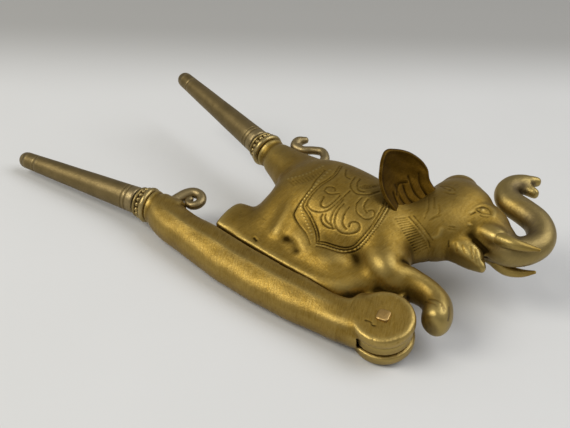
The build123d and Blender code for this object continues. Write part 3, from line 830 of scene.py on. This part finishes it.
tail = wire([(-57.0, 52.0), (-59.6, 58.0), (-60.6, 62.0), (-63.6, 64.6), (-67.6, 63.6), (-71.2, 61.7),
             (-75.0, 62.1), (-75.6, 65.2), (-73.4, 67.6)],
            1.9 * np.array([1.35, 1.15, 1.0, 0.95, 0.9, 0.98, 1.12, 1.15, 0.75]), rings=120)
tail_mesh = grid_mesh("tail", [tail])
mark_wear(tail_mesh, broad=0.3, rounds=10)
pieces.append(add_piece("tail_wire", tail_mesh, UPPER, "cast_brass", ["tail_curl"]))

steps = np.arange(9)
scroll_turn = np.radians(165 - 45 * steps)
scroll_reach = 4.7 - 0.42 * steps
scroll_points = [(-102.0, 8.2), (-100.6, 12.0)] + list(zip(-94.0 + scroll_reach * np.cos(scroll_turn),
                                                          16.0 + scroll_reach * np.sin(scroll_turn)))
scroll_radii = 2.1 * np.concatenate([[0.95, 1.05], 1.1 - 0.06 * steps])
scroll = grid_mesh("scroll", [wire(scroll_points[:11], scroll_radii[:11], rings=120)])
mark_wear(scroll, broad=0.3, rounds=10)
pieces.append(add_piece("scroll_wire_piece", scroll, LOWER, "cast_brass", ["lower_scroll"]))

# %% [markdown]
# ## Handles and collar rings
#
# A handle is turned on a lathe, so it is one outline spun round its line: a slow taper, a pair of
# incised lines near the root, a single one near the tip, and a rounded end. The collar is a thick wire
# ring, a ring of beads and a thin ring. The wire rings are not quite round, because they were bent
# by hand, which a slow wave of the radius gives.

# %% Handles and collars


INCISED = (9.2, 11.0, 57.5)


def rod_outline():
    """Radius against height. The taper is a straight line, each incised line is a small V, and the tip
    is a quarter circle."""
    heights = np.unique(np.concatenate([np.linspace(5.6, 63.2, 60)] + [
        line + np.array([-0.5, -0.34, -0.12, 0.12, 0.34, 0.5]) for line in INCISED]))
    radii = 5.4 - 2.1 * (heights - 5.5) / 61.0
    for line in INCISED:
        radii = radii - 0.24 * np.clip(1 - np.abs(heights - line) / 0.42, 0, 1) ** 0.7
    radii = radii + 0.02 * np.sin(heights * 0.3)
    tip = np.radians(np.linspace(0, 90, 12))
    return np.concatenate([[(0, 5.5), (4.9, 5.5), (5.25, 5.6)], np.stack([radii, heights], -1)[1:],
                           np.stack([3.35 * np.cos(tip), 63.2 + 3.3 * np.sin(tip)], -1)])


def ring_grid(radius, wire_radius, height, which, wobble=0.0, sides=144):
    """A wire bent round the spigot: a circle carried round a circle. The wobble adds a slow wave to
    the larger circle."""
    angle = np.linspace(0, 2 * np.pi, 28)
    rows = np.stack([radius + wire_radius * np.cos(angle), height + wire_radius * np.sin(angle)], -1)
    grid = turned(rows, handle_frame(which), sides)
    origin, out = handle_frame(which)
    turn = np.linspace(0, 2 * np.pi, sides, endpoint=False)
    shift = wobble * (np.sin(2 * turn + 0.7) + 0.6 * np.sin(5 * turn))
    outward = grid - origin
    outward -= (outward @ out)[..., None] * out
    outward /= np.linalg.norm(outward, axis=-1, keepdims=True)
    return grid + outward * shift[None, :, None]


def bead_grids(which):
    """A bead is a small ball, a dozen rings and sides, and eighteen of them stand on a circle."""
    origin, out = handle_frame(which)
    across_line = np.cross(out, [0, 0, 1.0])
    theta = np.linspace(0, np.pi, 9)[:, None]
    phi = np.linspace(0, 2 * np.pi, 14, endpoint=False)[None]
    ball = np.stack([np.sin(theta) * np.cos(phi), np.sin(theta) * np.sin(phi),
                     np.cos(theta) * np.ones_like(phi)], -1)
    centres = np.linspace(0, 2 * np.pi, 18, endpoint=False)
    return [origin + 2.25 * out + 5.67 * (np.cos(c) * across_line + np.sin(c) * np.array([0, 0, 1.0]))
            + ball * 0.93 for c in centres]


for which, body in (("lower", LOWER), ("upper", UPPER)):
    rod = grid_mesh("rod", [turned(rod_outline(), handle_frame(which), 80)])
    mark_wear(rod, fine=0.12, broad=0.4, rounds=8)
    pieces.append(add_piece(f"{which}_turned_handle", rod, body, "turned_brass", [f"{which}_handle_rod"]))
    big = grid_mesh("ring", [ring_grid(5.97, 1.22, 0.0, which, 0.05)])
    mark_wear(big, dirt_and_shade=-0.12, broad=0.3, rounds=6)
    pieces.append(add_piece(f"{which}_big_ring", big, body, "worn_wire_brass", [f"{which}_collar_ring"]))
    beads_mesh = grid_mesh("beads", bead_grids(which) + [turned(
        [(4.75, 1.4), (5.35, 1.4), (5.35, 3.1), (4.75, 3.1), (4.75, 1.4)], handle_frame(which))])
    mark_wear(beads_mesh, dirt_and_shade=0.42, broad=0.5, rounds=4)
    pieces.append(add_piece(f"{which}_bead_ring", beads_mesh, body, "worn_wire_brass",
                            [f"{which}_collar_beads"]))
    thin = grid_mesh("thin", [ring_grid(5.44, 0.70, 4.0, which, 0.03)])
    mark_wear(thin, broad=0.3, rounds=4)
    pieces.append(add_piece(f"{which}_thin_ring", thin, body, "worn_wire_brass",
                            [f"{which}_ferrule_ring"]))

# %% [markdown]
# ## Old brass
#
# Cast brass that has been handled for decades is yellow where it is rubbed, olive and brown where the
# patina stays, and nearly black in the grooves; its broader hollows also get painted shade. It is a
# bare metal, so Metallic is 1 and the colour is the reflection's tint. The roughness is a little under
# 0.5, the satin of old polish, and less on the proud edges. The trunk is duller and greyer. The hoof
# and the far cheek get the same grey as painted shade, on the far cheek partly as patina.
# Clouds a few millimetres wide break up the tone, fine pits come from the sand of the mould, and file
# strokes run across the bar. The turned handles and the rings get the same recipe with duller or
# brighter colours.

# %% Materials


def srgb(code):
    """A hex colour as linear light: below 0.04045 divided by 12.92, above it the 2.4 power curve."""
    value = np.array([int(code[i:i + 2], 16) for i in (1, 3, 5)]) / 255
    linear = np.where(value <= 0.04045, value / 12.92, ((value + 0.055) / 1.055) ** 2.4)
    return (*linear.tolist(), 1.0)


def add(tree, kind, settings=None, **links):
    """One node with its settings, and links to its inputs: a socket is linked, a value is set. An
    underscore in an input's name stands for a space, and a number at its end picks by index."""
    node = tree.nodes.new(kind)
    for key, value in (settings or {}).items():
        setattr(node, key, value)
    for key, value in links.items():
        by_index = key[0] == "i" and key[1:].isdigit()
        socket = node.inputs[int(key[1:]) if by_index else key.replace("_", " ")]
        if isinstance(value, bpy.types.NodeSocket):
            tree.links.new(value, socket)
        else:
            socket.default_value = value
    return node


def mix(tree, factor, a, b, blend="MIX"):
    node = add(tree, "ShaderNodeMix", {"data_type": "RGBA", "blend_type": blend}, i0=factor, i6=a, i7=b)
    return node.outputs[2]


GREY_TARNISH_AND_SHADE = "#5C5140"
LEVERS_TURN = Matrix([list(row) for row in AXES]).to_euler()


def old_brass(name, metal, patina, dirt_and_shade, bright, roughness=0.4, strokes=0.25, stroke_turn=0.0, pits=0.35,
              cloud=0.55):
    """Base metal mixed with patina by clouds, with dirt and painted shade by hollowness, and with bright
    metal where it is rubbed. Bump is fine pits plus long strokes."""
    material = bpy.data.materials.new(name)
    material.use_nodes = True
    tree = material.node_tree
    tree.nodes.clear()
    place = add(tree, "ShaderNodeTexCoord").outputs["Object"]
    lever_axes = add(tree, "ShaderNodeMapping", Rotation=tuple(LEVERS_TURN), Vector=place).outputs[0]
    turned_axes = add(tree, "ShaderNodeMapping", Rotation=(0, 0, np.radians(stroke_turn)),
                      Vector=lever_axes).outputs[0]
    stroke_axes = add(tree, "ShaderNodeMapping", Scale=(2600, 260, 500), Vector=turned_axes).outputs[0]
    clouds, stains, grains, lines = (
        add(tree, "ShaderNodeTexNoise", Vector=at, Scale=scale, Detail=detail, Roughness=rough).outputs[0]
        for at, scale, detail, rough in ((place, 130, 5, 0.6), (place, 420, 4, 0.65),
                                         (place, 1900, 3, 0.6), (stroke_axes, 1.0, 3, 0.7)))
    hollow, rubbed, tarnish_and_shade = (
        add(tree, "ShaderNodeAttribute", {"attribute_name": attribute}).outputs["Fac"]
        for attribute in ("hollow", "rubbed", "tarnish_and_shade"))
    cloud_share, stain_share, tarnish_and_shade_share, worn_share, line_share, dirt_and_shade_share = (
        add(tree, "ShaderNodeMapRange", Value=value, From_Min=low, From_Max=high, To_Min=0.0,
            To_Max=most).outputs[0]
        for value, low, high, most in ((clouds, 0.38, 0.66, cloud), (stains, 0.56, 0.74, 0.55),
                                       (tarnish_and_shade, 0.0, 1.0, 0.9), (rubbed, 0.12, 0.7, 0.75),
                                       (lines, 0.3, 0.7, strokes), (hollow, 0.06, 0.62, 0.93)))
    # The grey mix is partly painted shade on the hoof and the far cheek, and the dark mix is dirt and
    # painted shade in the hollows.
    colour = srgb(metal)
    for factor, tint in ((cloud_share, patina), (stain_share, patina), (tarnish_and_shade_share, GREY_TARNISH_AND_SHADE),
                         (worn_share, bright), (line_share, bright), (dirt_and_shade_share, dirt_and_shade)):
        colour = mix(tree, factor, colour, srgb(tint))
    rough = add(tree, "ShaderNodeMapRange", Value=grains, From_Min=0.3, From_Max=0.7,
                To_Min=roughness - 0.07, To_Max=roughness + 0.1).outputs[0]
    for factor, change in ((dirt_and_shade_share, 0.3), (worn_share, -0.1)):
        rough = add(tree, "ShaderNodeMath", {"operation": "MULTIPLY_ADD", "use_clamp": True}, i0=factor,
                    i1=change, i2=rough).outputs[0]
    below = {}
    for strength, depth, height in ((pits, 0.00012, grains), (min(strokes * 1.6, 1), 0.00010, lines),
                                    (0.35, 0.0004, stains)):
        bump = add(tree, "ShaderNodeBump", Strength=strength, Distance=depth, Height=height,
                   **below).outputs[0]
        below = {"Normal": bump}
    shader = add(tree, "ShaderNodeBsdfPrincipled", Base_Color=colour, Metallic=1.0, Roughness=rough,
                 Normal=bump)
    add(tree, "ShaderNodeOutputMaterial", Surface=shader.outputs[0])
    return material


cast_brass = old_brass("cast_brass_aged_satin", "#876B28", "#604813", "#2E2006", "#B09A5C", 0.48, 0.26,
                       stroke_turn=20)
filed_brass = old_brass("cast_brass_filed_by_hand", "#896D2A", "#634B15", "#2E2006", "#B0985A", 0.47, 0.42,
                        stroke_turn=-18, pits=0.45)
ear_brass = old_brass("cast_brass_dark_leaf", "#453006", "#352203", "#180E01", "#755C28", 0.48, 0.12)
turned_brass = old_brass("turned_brass_dull_patina", "#7C6B46", "#5E5030", "#2A2110", "#978661", 0.50, 0.04,
                         stroke_turn=70)
wire_brass = old_brass("brass_wire_rubbed_bright", "#7E6A3C", "#58481F", "#241A06", "#B09C68", 0.42, 0.2)
rivet_brass = old_brass("copper_brass_filed_bright", "#A08048", "#826230", "#4C3618", "#B89A62", 0.44, 0.6,
                        stroke_turn=-35, cloud=0.3)
steel = old_brass("mild_steel_threaded_stud", "#8C8C8A", "#6C6A66", "#2A2826", "#B8B8B6", 0.45, 0.3)
by_piece = {"cast_lower_lever": filed_brass, "filed_rivet": rivet_brass, "left_ear_leaf": ear_brass,
            "right_ear_leaf": ear_brass, "tail_wire": turned_brass, "scroll_wire_piece": turned_brass}
by_slot = {"cast_brass": cast_brass, "turned_brass": turned_brass, "worn_wire_brass": wire_brass,
           "rivet_copper_brass": rivet_brass}
for piece in pieces:
    piece.data.materials.clear()
    piece.data.materials.append(by_piece.get(piece.name, by_slot[piece["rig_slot"]]))
for node_name in ("lower_handle_stud", "upper_handle_stud"):
    node = frame["nodes"][node_name]
    node.data.materials.clear()
    node.data.materials.append(steel)
print("materials:", sorted({material.name for material in bpy.data.materials}))

# %% [markdown]
# ## Table, light and camera
#
# The nutcracker lies on a pale matt table under soft daylight from a window, with the room as a dim
# fill. A rough pale floor catches the soft shadows under the head and the bar, and its far side is
# darkened by painted shade: a smooth step along one direction of the table darkens the floor's colour.
# The camera is placed from the rivet in the drawing frame, so it keeps its view if the parts move on
# the table.

# %% Table
floor_mesh = bpy.data.meshes.new("table")
floor_mesh.from_pydata([(-3, -3, 0), (3, -3, 0), (3, 3, 0), (-3, 3, 0)], [], [(0, 1, 2, 3)])
floor = bpy.data.objects.new("table", floor_mesh)
bpy.context.scene.collection.objects.link(floor)
table_finish = bpy.data.materials.new("pale_matt_laminate")
table_finish.use_nodes = True
tree = table_finish.node_tree
tree.nodes.clear()
place = add(tree, "ShaderNodeTexCoord").outputs["Object"]
mottle = add(tree, "ShaderNodeTexNoise", Vector=place, Scale=9, Detail=4).outputs[0]
tone = mix(tree, mottle, srgb("#CFCFCC"), srgb("#D6D6D4"))
# Painted shade: the floor's colour darkens to grey by a smooth step across the table, away from the window.
away_from_window = (-0.724, 0.690, 0)
painted_dusk_starts, painted_dusk_ends = 0.118, 0.225
across_room = add(tree, "ShaderNodeVectorMath", {"operation": "DOT_PRODUCT"}, i0=place,
                  i1=away_from_window).outputs[1]
painted_dusk = add(tree, "ShaderNodeMapRange", {"interpolation_type": "SMOOTHSTEP"}, Value=across_room,
           From_Min=painted_dusk_starts, From_Max=painted_dusk_ends, To_Min=0.0, To_Max=1.0).outputs[0]
tone = mix(tree, painted_dusk, tone, srgb("#A3A29E"))
shader = add(tree, "ShaderNodeBsdfPrincipled", Base_Color=tone, Roughness=0.6)
add(tree, "ShaderNodeOutputMaterial", Surface=shader.outputs[0])
floor_mesh.materials.append(table_finish)

# %% Light


def soft_light(name, place, target, size, power, colour="#FFFFFF"):
    light = bpy.data.lights.new(name, "AREA")
    light.shape = "DISK"
    light.size = size
    light.energy = power
    light.color = srgb(colour)[:3]
    lamp = bpy.data.objects.new(name, light)
    lamp.location = place
    lamp.rotation_euler = (Vector(target) - Vector(place)).to_track_quat("-Z", "Y").to_euler()
    bpy.context.scene.collection.objects.link(lamp)
    return lamp


soft_light("window", (-0.46, -0.66, 0.74), (0.0, 0, 0), 0.6, 6.5, "#FFFDF8")
soft_light("room", (0.55, 0.35, 0.9), (0.05, 0, 0), 1.0, 6.5, "#F6F8FF")
world = bpy.data.worlds.new("room")
bpy.context.scene.world = world
world.use_nodes = True
world.node_tree.nodes["Background"].inputs[0].default_value = srgb("#E6E4E0")
world.node_tree.nodes["Background"].inputs[1].default_value = 0.48
bpy.context.scene.view_settings.view_transform = "Standard"

# %% Camera
eye_point = laid(SIGHT)
forward = np.array([-0.414, 0.542, -0.731]) @ AXES
right = np.array([0.836, 0.543, -0.071]) @ AXES
right -= forward * (right @ forward) / (forward @ forward)
right /= np.linalg.norm(right)
forward /= np.linalg.norm(forward)
upward = np.cross(right, forward)
camera_data = bpy.data.cameras.new("camera")
camera_data.sensor_width = 36
camera_data.lens = 36 * 850 / 570
camera_data.clip_start = 0.01
camera = bpy.data.objects.new("camera", camera_data)
camera_rows = np.column_stack([right, upward, -forward, eye_point]).tolist()
camera.matrix_world = Matrix(camera_rows + [[0, 0, 0, 1]])
bpy.context.scene.collection.objects.link(camera)
bpy.context.scene.camera = camera
